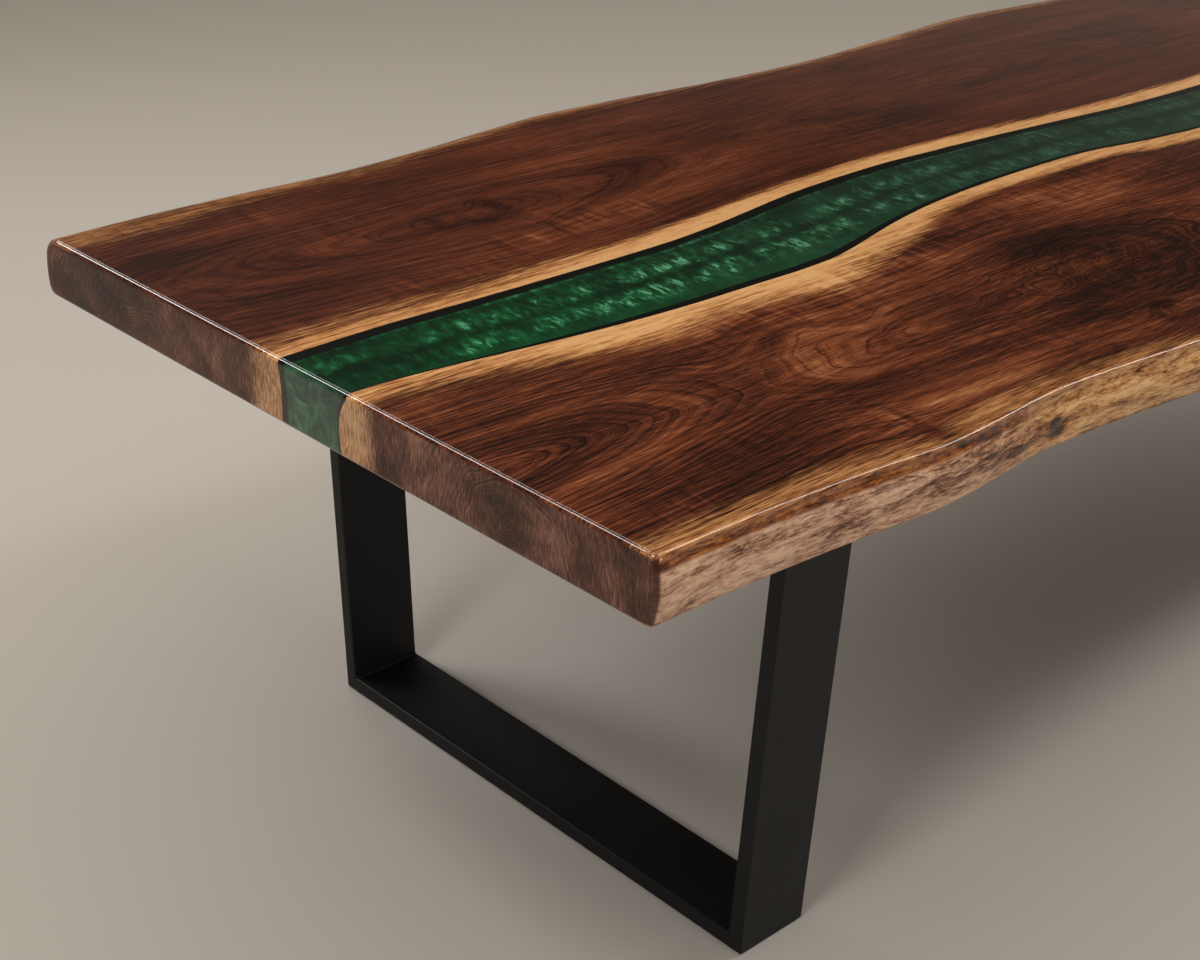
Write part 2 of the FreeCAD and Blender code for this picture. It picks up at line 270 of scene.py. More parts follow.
def boardSurface(leftSide, rightSide, leftRound, rightRound, acrossCount):
    # Closed surface of one piece of the top. Each cross section is a ring: level top from
    # left to right, down the right side, back under, up the left side. Both sawn ends are
    # filled by a grid blended from the ring's four sides (a Coons patch).
    s = stations()
    left, right = leftSide(s), rightSide(s)
    a, b = acrossCount, board["sideCount"]
    v = np.linspace(0, 1, a)[:, None]
    top = left[:, :1] * (1 - v) + right[:, :1] * v
    under = left[:, -1:] * (1 - v) + right[:, -1:] * v
    ring = np.concatenate([top, right[:, 1:], under[:, ::-1][:, 1:], left[:, ::-1][:, 1:-1]], 1)
    rightShare = np.concatenate([v[:, 0], np.ones(b - 1), v[::-1, 0][1:], np.zeros(b - 2)])
    half = board["thickness"] / 2
    middle = board["top"] - half
    ring[..., 1] = middle + (ring[..., 1] - middle) * (1 - drop(s, board["endRound"]) / half)
    ring[..., 0] += drop(s, leftRound) * (1 - rightShare) - drop(s, rightRound) * rightShare
    rows, count = ring.shape[:2]
    x = np.repeat((s - board["length"] / 2)[:, None], count, 1)
    rings = np.concatenate([x[..., None], ring], -1).reshape(-1, 3)

    i, j = np.meshgrid(np.arange(rows - 1) * count, np.arange(count), indexing="ij")
    k = (j + 1) % count
    vertices = [rings]
    faces = [np.stack([i + j, i + k, i + count + k, i + count + j], -1).reshape(-1, 4)]

    total = rows * count
    for start, flip in ((0, False), (total - count, True)):
        index = np.full((b, a), -1)
        index[0] = start + np.arange(a)
        index[:, -1] = start + a - 1 + np.arange(b)
        index[-1] = (start + a + b - 2 + np.arange(a))[::-1]
        index[1:-1, 0] = (start + 2 * a + b - 3 + np.arange(1, b - 1))[::-1]
        inside = index < 0
        index[inside] = total + np.arange(inside.sum())
        total += inside.sum()
        w, u = np.linspace(0, 1, b)[:, None, None], np.linspace(0, 1, a)[None, :, None]
        upper, lower = rings[index[0]][None], rings[index[-1]][None]
        leftmost, rightmost = rings[index[:, 0]][:, None], rings[index[:, -1]][:, None]
        corners = ((1 - w) * ((1 - u) * upper[:, :1] + u * upper[:, -1:])
                   + w * ((1 - u) * lower[:, :1] + u * lower[:, -1:]))
        patch = (1 - w) * upper + w * lower + (1 - u) * leftmost + u * rightmost - corners
        vertices.append(patch[inside])
        quads = np.stack([index[:-1, :-1], index[1:, :-1], index[1:, 1:], index[:-1, 1:]], -1)
        faces.append(quads.reshape(-1, 4)[:, ::-1] if flip else quads.reshape(-1, 4))
    vertices, faces = np.concatenate(vertices), np.concatenate(faces)
    first, second, third = (vertices[faces[:, n]] for n in range(3))
    if np.einsum("ij,ij->i", first, np.cross(second, third)).sum() < 0:     # inside out
        faces = faces[:, ::-1]
    return vertices, faces


def makeObject(name, vertices, faces, attributes, material):
    # Quads in millimetres become a mesh in metres, smooth but for the sharp edges
    mesh = bpy.data.meshes.new(name)
    mesh.vertices.add(len(vertices))
    mesh.vertices.foreach_set("co", (vertices * mm).ravel().astype(np.float32))
    mesh.loops.add(faces.size)
    mesh.loops.foreach_set("vertex_index", faces.ravel().astype(np.int32))
    mesh.polygons.add(len(faces))
    mesh.polygons.foreach_set("loop_start", np.arange(0, faces.size, 4, dtype=np.int32))
    mesh.update(calc_edges=True)
    mesh.polygons.foreach_set("use_smooth", np.ones(len(faces), bool))
    mesh.set_sharp_from_angle(angle=math.radians(40))
    for key, values in attributes.items():
        attribute = mesh.attributes.new(key, "FLOAT_VECTOR", "POINT")
        attribute.data.foreach_set("vector", np.ascontiguousarray(values, np.float32).ravel())
    mesh.materials.append(material)
    mesh.validate()
    made = bpy.data.objects.new(name, mesh)
    bpy.context.scene.collection.objects.link(made)
    return made


# What the wood shows. Distances s from the near end, Y across. The heart of each log lies
# heartDepth below the top along heartLine; growth rings are shells round it, wider on one
# side. Humps and the island push the rings about. Patches are centre s, centre Y, half width
# along, half width across, strength; edgeTone has Z in place of Y, endTone has Y and Z.
frontFigure = {
    "seed": 4,
    "middle": 0.485,        # of the heartwood, from 0 for its darkest colour to 1
    "contrast": 1.25,       # about that
    "ringPitch": 8.4,
    "ringsShown": (
        (0, 1.2), (300, 1.2), (420, 0.8), (500, 0.3), (720, 0.4), (850, 0.9), (1100, 0.9),
        (1500, 0.6), (2800, 0.8)),
    "heartLine": (
        (0, -343), (300, -343), (400, -362), (600, -370), (800, -380), (1000, -370), (2800, -330)),
    "heartDepth": (
        (0, 8), (60, 24), (150, 52), (230, 77), (310, 101), (352, 110), (400, 100), (470, 76),
        (600, 54), (760, 46), (900, 60), (1100, 95), (1400, 130), (1800, 90), (2100, 60),
        (2500, 110), (2800, 90)),
    "riverStretch": 1.08,       # ring spacing on the river's side, against the heart's
    "outerStretch": 1.16,
    "humps": (
        (500, -275, 46, 34, -20), (592, -300, 40, 28, 22), (572, -338, 16, 9, 20),
        (915, -508, 36, 24, 40), (825, -440, 50, 40, 14), (1010, -330, 60, 40, -14)),
    "island": (985, -392, 170, 118, 0.62),
    "sapRiver": (
        (0, -130), (100, -143), (200, -168), (300, -196), (400, -207), (440, -198), (480, -190),
        (540, -198), (600, -214), (655, -229), (690, -224), (725, -212), (760, -200), (850, -174),
        (950, -138), (1050, -114), (1250, -108), (1400, -117), (1500, -142), (1700, -160),
        (1900, -165), (2200, -150), (2500, -140), (2800, -146)),
    "sapSoft": (
        (0, 22), (200, 22), (400, 17), (650, 26), (800, 28), (950, 15), (1100, 9), (2800, 10)),
    "sapOuter": (
        (0, -541), (250, -545), (380, -566), (412, -576), (450, -557), (560, -553), (650, -556),
        (780, -573), (860, -594), (1000, -598), (1200, -590), (1500, -560), (2000, -552),
        (2800, -560)),
    "curl": (
        (62, -518, 9, 22, 1.2), (92, -526, 12, 22, 1.4), (118, -520, 9, 22, 1.0),
        (412, -520, 14, 50, 1.2), (400, -240, 40, 34, 0.5), (470, -215, 50, 34, 0.5),
        (560, -240, 60, 26, 0.3), (690, -205, 60, 34, 0.9), (830, -185, 130, 30, 0.9),
        (700, -480, 60, 60, 0.3), (1150, -170, 120, 40, 0.6), (1700, -450, 120, 60, 0.7),
        (2100, -250, 100, 50, 0.6)),
    "tone": (
        (560, -372, 150, 26, 1.2), (1160, -215, 120, 56, 1.8), (1180, -131, 220, 12, -1.3),
        (950, -300, 120, 40, -0.9), (1010, -420, 130, 60, -1.2), (870, -480, 60, 50, -0.9),
        (918, -510, 26, 12, -3.6), (885, -535, 16, 16, -1.6), (568, -340, 20, 7, -1.6),
        (574, -324, 12, 6, 1.3), (625, -268, 60, 30, -0.8), (60, -248, 160, 8, -0.7),
        (60, -108, 130, 22, -0.6), (40, -345, 40, 16, 0.4), (330, -455, 120, 20, 0.5),
        (1000, -330, 150, 100, -2.0), (1150, -225, 130, 50, 0.6), (650, -180, 220, 34, 1.2),
        (60, -562, 300, 16, 0.6), (170, -332, 70, 30, 1.0), (425, -418, 50, 16, 0.8),
        (90, -522, 42, 16, 1.1), (1650, -380, 500, 200, -0.7), (360, -238, 70, 20, 0.5),
        (140, -455, 160, 9, -0.3), (610, -222, 130, 18, 0.2), (700, -566, 170, 22, -0.7),
        (760, -330, 120, 40, -0.5), (1900, -350, 200, 60, 0.5), (1600, -480, 150, 50, -0.6)),
    "gold": ((0, 0), (400, 0.1), (500, 0.45), (620, 1), (2800, 0.9)),
    "edgeTone": (
        (612, 693, 15, 8, -5.0), (603, 712, 8, 8, -5.0), (584, 714, 20, 4, -3.0),
        (622, 701, 8, 5, -2.5), (555, 722, 24, 5, -2.0), (520, 728, 30, 4, -1.2),
        (545, 700, 34, 9, -1.2), (500, 704, 70, 14, -1.5), (500, 738, 70, 8, -0.6),
        (250, 724, 30, 6, -1.0), (110, 722, 30, 4, -1.0), (250, 700, 40, 8, -0.6),
        (760, 694, 50, 3, -1.4), (810, 690, 30, 3, -1.5), (745, 738, 12, 3, -1.0),
        (720, 702, 20, 4, -1.2), (90, 700, 80, 10, 0.5), (880, 706, 20, 10, -1.2),
        (980, 715, 30, 6, -0.8), (440, 704, 110, 18, -1.0), (150, 694, 70, 10, 0.6),
        (720, 716, 60, 9, 0.8)),
    "pith": (-372, 668),        # Y and Z of the ring centre in the near sawn end
    "endTone": (
        (-372, 690, 42, 22, -2.6), (-350, 716, 40, 16, -1.2), (-545, 710, 40, 60, -1.2),
        (-230, 715, 70, 60, 0.8), (-450, 715, 40, 60, 0.3)),
}
rearFigure = {
    "seed": 11,
    "middle": 0.4432,
    "contrast": 0.76,
    "ringPitch": 14.0,
    "ringsShown": ((0, 1.1), (300, 1.1), (600, 0.9), (900, 0.7), (2800, 0.6)),
    "heartLine": ((0, 300), (200, 300), (470, 288), (800, 300), (1600, 330), (2800, 285)),
    "heartDepth": (
        (0, 122), (40, 110), (100, 95), (200, 72), (300, 54), (420, 36), (500, 34), (560, 46),
        (700, 80), (870, 112), (1000, 125), (1300, 96), (1600, 60), (1900, 90), (2500, 115),
        (2800, 100)),
    "riverStretch": 1.0,
    "outerStretch": 1.35,
    "humps": (
        (470, 240, 50, 24, 14), (530, 215, 26, 24, -16), (440, 330, 30, 20, 10),
        (1500, 400, 60, 40, 40)),
    "island": (480, 288, 120, 60, 0.35),
    "sapRiver": (
        (0, 84), (150, 86), (300, 82), (450, 79), (600, 79), (720, 90), (900, 108), (1100, 118),
        (1300, 106), (1500, 88), (1700, 74), (1900, 68), (2200, 80), (2500, 90), (2800, 84)),
    "sapSoft": ((0, 32), (250, 30), (400, 20), (560, 9), (900, 7), (2800, 8)),
    "sapOuter": (
        (0, 500), (140, 498), (240, 515), (330, 524), (450, 521), (560, 531), (700, 554),
        (870, 572), (1050, 563), (1300, 547), (1600, 549), (1950, 576), (2500, 535), (2800, 543)),
    "curl": (
        (445, 165, 12, 30, 1.2), (492, 160, 20, 26, 0.8), (540, 170, 34, 50, 0.8),
        (690, 150, 18, 40, 1.2), (620, 170, 50, 40, 0.6), (250, 120, 60, 25, 0.8),
        (380, 125, 50, 25, 0.7), (70, 115, 50, 20, 0.6), (260, 470, 30, 60, 0.9),
        (90, 500, 50, 30, 0.7), (1300, 250, 200, 60, 0.4), (2000, 300, 150, 80, 0.5)),
    "tone": (
        (422, 285, 14, 34, -2.0), (480, 330, 44, 9, -1.5), (530, 290, 14, 34, -2.2),
        (480, 245, 44, 14, -1.8), (476, 290, 22, 18, 0.4), (492, 160, 20, 20, 2.2),
        (690, 148, 10, 34, 1.3), (447, 180, 8, 26, 1.0), (530, 165, 9, 40, -1.6),
        (430, 160, 12, 40, -0.9), (275, 130, 14, 40, -1.0), (90, 420, 120, 50, -1.3),
        (30, 390, 60, 80, -0.6), (120, 208, 190, 10, -0.9), (800, 310, 60, 50, -0.5),
        (1000, 300, 120, 60, 0.4), (620, 175, 110, 30, 0.6), (300, 150, 250, 22, 0.2),
        (100, 100, 200, 20, 0.4), (60, 55, 120, 16, -0.8), (120, 60, 220, 40, -0.7),
        (650, 440, 250, 60, -0.2), (150, 330, 120, 30, 0.2), (120, 520, 260, 30, -0.8),
        (700, 560, 400, 30, -0.4), (1600, 320, 500, 200, -0.8), (60, 300, 120, 60, -0.5)),
    "gold": ((0, 0.3), (2800, 0.6)),
    "edgeTone": ((300, 710, 60, 10, -0.8), (1200, 700, 80, 12, -0.9), (2000, 715, 60, 10, -0.8)),
    "pith": (330, 628),
    "endTone": (
        (455, 715, 80, 60, -2.6), (180, 715, 90, 60, 0.6), (70, 712, 10, 12, -1.6),
        (300, 705, 60, 20, -0.8)),
}


# Seeded unevenness: how much, how far it is drawn out along the table, and its longest and
# shortest waves
unevenness = {
    "ring": (2.0, 3.0, 160, 45),
    "island": (9.0, 1.0, 110, 38),
    "tone": (0.35, 2.5, 260, 60),
    "pith": (3.0, 1.0, 90, 30),
}
heartCore = 3.0         # keeps the rings from closing to a point

# Point attributes of a slab, three fields in each. ring, fromPith and the two depths into the
# sapwood are distances; sapSoft is how gradually the river's sapwood begins, gold how golden
# the live edge is, ringsShown how strongly the rings show
woodFields = {
    "figure": ("ring", "sapRiver", "sapOuter"),
    "look": ("tone", "bark", "curl"),
    "rings": ("ringsShown", "sapSoft", "gold"),
    "sawn": ("fromPith", "endTone", "edgeTone"),
}


def figureOf(figure, vertices, bark):
    # The fields at each vertex, packed as woodFields says
    x, y, z = vertices.T
    s = x + board["length"] / 2
    uneven = {}
    for k, (key, (amount, drawnOut, longest, shortest)) in enumerate(unevenness.items()):
        u, v = (y, z) if key == "pith" else (s / drawnOut, y)
        uneven[key] = amount * waves(u, v, figure["seed"] + k, longest, shortest)
    heart = along(figure["heartLine"], s)
    outwards = 1 if heart.mean() > 0 else -1
    away = (y - heart) * outwards
    away *= np.where(away > 0, figure["outerStretch"], figure["riverStretch"])
    below = along(figure["heartDepth"], s) - (board["top"] - z)
    island = bump(s, y, figure["island"])
    ring = np.sqrt(away**2 + below**2 + heartCore**2) * (1 - figure["island"][4] * island)
    ring += uneven["ring"] + uneven["island"] * island
    ring += sum(hump[4] * bump(s, y, hump) for hump in figure["humps"])
    planes = {"curl": (s, y), "tone": (s, y), "edgeTone": (s, z), "endTone": (y, z)}
    fields = {key: sum(patch[4] * bump(u, v, patch) for patch in figure[key])
              for key, (u, v) in planes.items()}
    fields["tone"] += uneven["tone"]
    fromPith = np.hypot(y - figure["pith"][0], z - figure["pith"][1]) + uneven["pith"]
    fields.update(ring=ring * mm, fromPith=fromPith * mm, bark=bark,
                  sapRiver=outwards * (along(figure["sapRiver"], s) - y) * mm,
                  sapOuter=outwards * (y - along(figure["sapOuter"], s)) * mm,
                  sapSoft=along(figure["sapSoft"], s) * mm,
                  ringsShown=along(figure["ringsShown"], s), gold=along(figure["gold"], s))
    return {name: np.stack([fields[key] for key in keys], -1) for name, keys in woodFields.items()}


# Noise layers of the wood: what they stretch over, cycles per metre along x, y and z (or
# along x and across the rings), detail, roughness, distortion
woodLayers = {
    "wander": ("board", (3, 18, 18), 3, 0.5, 0),  # rings wander over 55 mm
    "shiver": ("board", (22, 70, 70), 2, 0.5, 0),  # and shiver over 14 mm
    "clouds": ("board", (2.5, 11, 11), 3, 0.5, 0),
    "patches": ("board", (4, 9, 9), 1, 0.5, 0),
    "streak": ("board", (9, 210, 210), 4, 0.6, 0),  # bundles of fibre, 5 mm wide
    "fibre": ("board", (22, 640, 640), 3, 0.7, 0),  # single fibres, 1.5 mm so that they show
    "pores": ("board", (40, 1000, 1000), 1, 0.5, 0),  # 1 mm, coarser than real pores
    "ripple": ("board", (72, 15, 15), 1.5, 0.5, 0.4),  # curly figure, 14 mm
    "wavy": ("board", (15, 50, 80), 4, 0.62, 0.9),  # live edge, waves 20 mm wide
    "rough": ("board", (62, 220, 330), 4, 0.72, 0.45),  # and its pits of 4 mm
    "specks": ("board", (62, 80, 90), 4, 0.65, 0.8),
    "mottle": ("board", (14, 17, 15), 4, 0.6, 0.5),  # sawn ends, clouds of 60 mm
    "fleck": ("board", (50, 360, 70), 3, 0.7, 0),  # and rays 3 mm apart
    "uneven": ("shells", (0.5, 26, 0), 1, 0.5, 0),  # width of the rings
    "broad": ("shells", (0.9, 38, 0), 2, 0.5, 0),  # zones of several rings
    "ringStreak": ("shells", (3.5, 250, 0), 3, 0.6, 0),
    "ringFibre": ("shells", (8, 560, 0), 2, 0.65, 0),
    "ringLine": ("shells", (2.2, 330, 0), 2, 0.5, 0),
    "arcs": ("arcs", (0, 420, 0), 3, 0.7, 0),  # rings in the sawn end, 2.4 mm
}

# Marks: pores, and dark hairlines along the grain and along the rings, where a layer lies
# above a soft threshold; curly is where the ripples show
woodMarks = {
    "poreMarks": ("pores", 0.55, 0.66),
    "darkStreak": ("ringStreak", 0.52, 0.66),
    "darkFibre": ("ringFibre", 0.52, 0.64),
    "hairline": ("ringLine", 0.56, 0.66),
    "curly": ("patches", 0.52, 0.68),
}

# Weighted sums of the fields, layers and marks: a start value, then the weights
woodMixes = {
    "wandered": (0.0, {"ring": 1.0, "wander": 0.010, "shiver": 0.0026}),
    "ripplesShown": (0.05, {"curly": 0.35, "curl": 1.0}),
    "heart": (-2.02, {"broad": 0.66, "streak": 0.72, "fibre": 0.95, "ringFibre": 0.60,
                      "ringStreak": 0.55, "clouds": 0.70, "lateWood": -0.17,
                      "darkStreak": -0.13, "darkFibre": -0.12, "hairline": -0.13,
                      "poreMarks": -0.20, "tone": 0.12, "ripple": 0.12}),
    "feather": (-2.5, {"streak": 2.2, "fibre": 2.4, "patches": 0.6}),
    "sap": (-1.46, {"streak": 1.20, "fibre": 1.75, "ringFibre": 0.60, "clouds": 0.4,
                    "poreMarks": -0.36, "darkFibre": -0.15, "hairline": -0.14, "ripple": 0.10,
                    "lateWood": -0.12, "tone": 0.11, "sapDepth": 0.45}),
    "edge": (-1.30, {"wavy": 1.65, "rough": 1.75, "specks": 0.40, "edgeTone": 0.16}),
    # height of the band of painted shade under the arris, made uneven
    "amberLine": (0.0, {"z": 1.0, "rough": 0.010, "wavy": 0.008}),
    "pithArcs": (0.0, {"fromPith": 1.0, "fleck": 0.004}),
    "sawn": (-1.72, {"arcs": 1.8, "mottle": 1.5, "fleck": 1.2, "endTone": 0.11}),
    "sawnSap": (-1.35, {"arcs": 1.3, "mottle": 0.7, "fleck": 1.9, "endTone": 0.1}),
    "sawnFeather": (-1.6, {"fleck": 1.6, "mottle": 2.0, "arcs": 1.2}),
    "relief": (0.0, {"wavy": 0.6, "rough": 0.7}),
    "height": (0.0, {"relief": 1.0, "fibre": 0.05}),
}

# Colours: the value that each follows, then its (position, hex) stops
woodColours = {
    "surface": ("heart", ((0.0, "#170804"), (0.25, "#34160b"), (0.5, "#5a2b18"), (0.75, "#84482a"),
                          (1.0, "#b07a4e"))),
    "riverSap": ("sap", ((0.0, "#452411"), (0.3, "#87512c"), (0.55, "#ba7c46"), (0.95, "#dfab73"))),
    "outerSap": ("sap", ((0.0, "#2e150b"), (0.2, "#6b3d20"), (0.4, "#925c33"), (0.7, "#c48f5c"))),
    "edge": ("edge", ((0.12, "#3c2014"), (0.36, "#80563f"), (0.55, "#b3876c"), (0.85, "#dab293"))),
    "gold": ("edge", ((0.12, "#381a0d"), (0.36, "#8a5429"), (0.55, "#bb844c"), (0.85, "#dfb27c"))),
    # the band under the arris: amber of the coat, its darkness painted shade
    "shadedAmber": ("edge", ((0.20, "#210d05"), (0.45, "#4f260f"), (0.65, "#7c431d"), (0.95, "#b0703a"))),
    "end": ("sawn", ((0.05, "#1c0f0a"), (0.35, "#3d231a"), (0.6, "#5b392c"), (0.95, "#8c6250"))),
    "endSap": ("sawnSap", ((0.1, "#5c3520"), (0.5, "#a0704c"), (0.85, "#cda27a"))),
}

# Where the share of each colour begins and is full: a depth, a height in metres, or how far
# the surface is turned towards a sawn end
woodLimits = {
    "riverSap": (-0.6, 1.4),
    "outerSap": (-0.9, 1.5),
    # height where the band of painted shade under the arris begins and is full
    "shadedAmber": (0.7395, 0.7430),
    "corner": (0.30, 0.65, 0.0, 0.92),      # from none to 0.92
    "endSap": (-0.8, 2.4),
    "end": (0.88, 0.98),
}
walnutLook = {
    "fade": (-0.60, 0.20, 1.0, 0.72),   # x over which the contrast falls, and to what share
    "ringNoise": (2.0, 0.37, 0.0),      # how rings differ, along them and from ring to ring
    "sapPerMetre": 62.0,                # depth gained per metre into the outer sapwood
    "endSapPerMetre": 75.0,
    "cornerColour": "#3a170a",
    "coatTop": (0.739, 0.744, 0.8, 0.0),    # height where the coat grows thinner
    "thinCoat": 0.45,
}


def walnut(name, figure):
    # American black walnut, planed, sanded and finished with a poured clear coat: chocolate
    # heartwood with darker ring lines, pale straw sapwood, deep gloss over all of it
    material, new, shader = newMaterial(name)
    look = walnutLook
    place = new("TexCoord")
    x, _, z = new("SeparateXYZ", (place.outputs["Object"],)).outputs
    values = {"z": z}
    for attribute, keys in woodFields.items():
        vector = new("Attribute", attribute_name=attribute).outputs["Vector"]
        values.update(zip(keys, new("SeparateXYZ", (vector,)).outputs))

    def mix(key):
        # a weighted sum, kept under its name
        values[key] = weightedSum(new, values, *woodMixes[key])
        return values[key]

    # layers stretch over the board, over the shells of the rings or over the arcs round the
    # pith; shells and arcs are given their distances further down
    shells, arcs = new("CombineXYZ", (x,)), new("CombineXYZ")
    spaces = {"board": place.outputs["Object"], "shells": shells, "arcs": arcs}
    for seed, (key, layer) in enumerate(woodLayers.items(), figure["seed"]):
        space, perMetre, detail, roughness, distortion = layer
        stretched = new("VectorMath", (spaces[space], perMetre), **times)
        settings = {"Vector": stretched, "W": seed, "Scale": 1.0, "Detail": detail,
                    "Roughness": roughness, "Distortion": distortion}
        values[key] = new("TexNoise", settings, noise_dimensions="4D")

    # growth rings: shells that wander a little, each darkening slowly towards its late wood
    # and then starting pale again, some of them stronger than others
    connect(shells, {"Y": mix("wandered")})
    phase = {"wandered": 1 / (figure["ringPitch"] * mm), "uneven": 2.2}
    phase = weightedSum(new, values, 0.0, phase)
    age = new("Math", (phase,), operation="FRACT")
    number = new("Math", (phase,), operation="FLOOR")
    each = new("CombineXYZ", (x, number))
    each = new("VectorMath", (each, look["ringNoise"]), **times)
    strength = new("TexNoise", {"Vector": each, "Scale": 1.0, "Detail": 1.0})
    strength = new("MapRange", (strength, 0.34, 0.62, 0.25, 1.0), **smooth)
    reset = new("MapRange", (age, 0.92, 1.0, 1.0, 0.0), **smooth)
    values["lateWood"] = new("MapRange", (age, 0.25, 0.90), **smooth)
    for factor in (reset, strength, values["ringsShown"]):
        values["lateWood"] = new("Math", (values["lateWood"], factor), **times)

    for key, (layer, start, full) in woodMarks.items():
        values[key] = new("MapRange", (values[layer], start, full), **smooth)
    # curly figure: pale and dark ripples across the grain, strong only in places
    ripple = new("MapRange", (values["ripple"], 0.36, 0.64, -1.0, 1.0), **smooth)
    values["ripple"] = new("Math", (ripple, mix("ripplesShown")), **times)

    # heartwood
    start, end, full, faded = look["fade"]
    fading = (x, start, end, full * figure["contrast"], faded * figure["contrast"])
    fading = new("MapRange", fading)
    values["heart"] = new("Math", (mix("heart"), fading, figure["middle"]), **timesPlus)

    # streaks of heartwood feather into the sapwood, browner along the outer edge
    riverDepth = new("Math", (values["sapRiver"], values["sapSoft"]), operation="DIVIDE")
    riverDepth = new("Math", (riverDepth, mix("feather")))
    outerDepth = (values["sapOuter"], look["sapPerMetre"], values["feather"])
    outerDepth = new("Math", outerDepth, **timesPlus)
    values["sapDepth"] = new("MapRange", (riverDepth, 0.0, 2.4))

    # sawn ends: the rings as fine arcs round the pith, duller and greyer, softly mottled
    connect(arcs, {"Y": mix("pithArcs")})
    endDepth = (values["sapRiver"], look["endSapPerMetre"], mix("sawnFeather"))
    endDepth = new("Math", endDepth, **timesPlus)

    # the live edge: under the arris a dark amber band, the coat's amber deepened by painted shade
    # where the edge turns up from its face, then the rough pinkish tan of the wood just below
    # the bark, golden in places, and dark where it turns into a sawn end
    facing = new("SeparateXYZ", (place.outputs["Normal"],)).outputs["X"]
    facing = new("Math", (facing,), **sizeOf)
    depths = {"riverSap": riverDepth, "outerSap": outerDepth, "shadedAmber": mix("amberLine"),
              "corner": facing, "endSap": endDepth, "end": facing}
    shares = {key: new("MapRange", (depths[key], *limits), **smooth)
              for key, limits in woodLimits.items()}
    lessShadedAmber = new("MapRange", (values["gold"], 0.5, 1.0, 1.0, 0.25))
    shares["shadedAmber"] = new("Math", (shares["shadedAmber"], lessShadedAmber), **times)
    shares.update(gold=values["gold"], edge=values["bark"])

    for key in ("sap", "edge", "sawn", "sawnSap"):
        mix(key)
    colours = {key: new("ValToRGB", (values[value],), stops=stops)
               for key, (value, stops) in woodColours.items()}
    colours["corner"] = linear(look["cornerColour"])
    # lay the second colour of each pair over the first
    for under, over in (("surface", "riverSap"), ("surface", "outerSap"), ("edge", "gold"),
                        ("edge", "shadedAmber"), ("edge", "corner"), ("end", "endSap"),
                        ("surface", "edge"), ("surface", "end")):
        layers = {"Factor": shares[over], 6: colours[under], 7: colours[over]}
        colours[under] = new("Mix", layers, data_type="RGBA")

    # the bump keeps off the polished arris
    carved = new("MapRange", (values["bark"], 0.5, 1.0))
    values["relief"] = new("Math", (mix("relief"), carved), **times)
    # the poured coat is full on top and brushed out thinner on the ends and live edges
    thin = new("MapRange", (z, *look["coatTop"]))
    thin = new("Math", (values["bark"], thin), **times)
    thin = new("Math", (thin, shares["end"]), operation="MAXIMUM")
    connect(shader, {
        "Base Color": colours["surface"], "Roughness": 0.5,
        "Specular IOR Level": 0.06,         # the coat wets the wood out
        "Normal": new("Bump", {"Height": mix("height"), "Strength": 0.5, "Distance": 0.002}),
        "Coat Weight": new("MapRange", (thin, 0.0, 1.0, 1.0, look["thinCoat"])),
        "Coat Roughness": 0.05, "Coat IOR": 1.5})
    return material


resin = {
    "seed": 21,
    "darkLine": (
        (0, -41), (250, -46), (450, -52), (600, -48), (800, -38), (1000, -14), (1300, -8),
        (1500, -16), (1700, -38), (1900, -44), (2500, -26), (2800, -30)),
    "rearMargin": ((0, 21), (300, 19), (500, 16), (900, 21), (1300, 18), (2800, 16)),
    "frontMargin": ((0, 2.5), (150, 3.5), (300, 8), (450, 12), (700, 14), (1000, 9), (2800, 7)),
    # how far the pearl is washed out grey along the table: a painted reflection, stronger further
    # off
    "reflectionGrey": ((0, 0.0), (300, 0.1), (500, 0.25), (900, 0.58), (1400, 0.85), (2800, 0.9)),
    "pearl": ((0.0, "#020d05"), (0.2, "#062510"), (0.42, "#0e4422"), (0.65, "#1b653a"),
              (1.0, "#5ba277")),
    # the pearl washed out grey, a painted reflection
    "reflectedDull": ((0.0, "#141d15"), (0.25, "#213124"), (0.5, "#2e4837"), (1.0, "#5f7d6a")),
    "clear": "#0b0d0a",
    "lean": -0.12,          # of the wisps, along x per metre of y
    "thread": 0.0215,       # distance of the faint threads from the rear bank
}
# cycles per metre, detail, roughness, distortion
resinLayers = {
    "blocks": ((19, 14, 14), 2, 0.5, 0.6),      # groups of wisps, 60 mm
    "wisps": ((70, 30, 30), 4, 0.6, 0.7),       # 14 mm along the river
    "strands": ((100, 42, 42), 4, 0.65, 0.9),
    "haze": ((16, 26, 26), 3, 0.5, 0.4),
    "drift": ((20, 0, 0), 2, 0.5, 0),
    "swirl": ((34, 30, 30), 5, 0.65, 1.4),      # sawn end
}
# shares over the distance from the dark line in metres: from, to, and the two shares there
resinRows = {
    "rearStart": (0.018, 0.040, 0.0, 1.0),
    "rearEnd": (0.048, 0.072, 1.0, 0.2),
    "frontStart": (-0.002, 0.020, 1.0, 0.0),
    "frontEnd": (-0.036, -0.018, 0.0, 1.0),
    "band": (-0.034, -0.022, 1.0, 0.0),
}


def resinFlow(vertices):
    # Distances to the rear and the front bank and from the dark line between the two rows
    # of wisps, then the widths of the dark margins and how far a painted reflection greys the pearl
    x, y, z = vertices.T
    s = x + board["length"] / 2
    t = np.clip((board["top"] - z) / board["thickness"], 0, 1)
    form = edges["innerForm"]
    # share of the swell at this height, the same cubic as in innerSide
    level = 3 * (1 - t)**2 * t * form[1] + 3 * (1 - t) * t**2 * form[2] + t**3 * form[3]
    rear = along(edges["rearInner"], s) - along(edges["rearInnerSwell"], s) * level - y
    front = y - along(edges["frontInner"], s) - along(edges["frontInnerSwell"], s) * level
    row = y - along(resin["darkLine"], s)
    return {"flow": np.stack([rear, front, row], -1) * mm,
            "margin": np.stack([along(resin["rearMargin"], s) * mm,
                                along(resin["frontMargin"], s) * mm, along(resin["reflectionGrey"], s)], -1)}


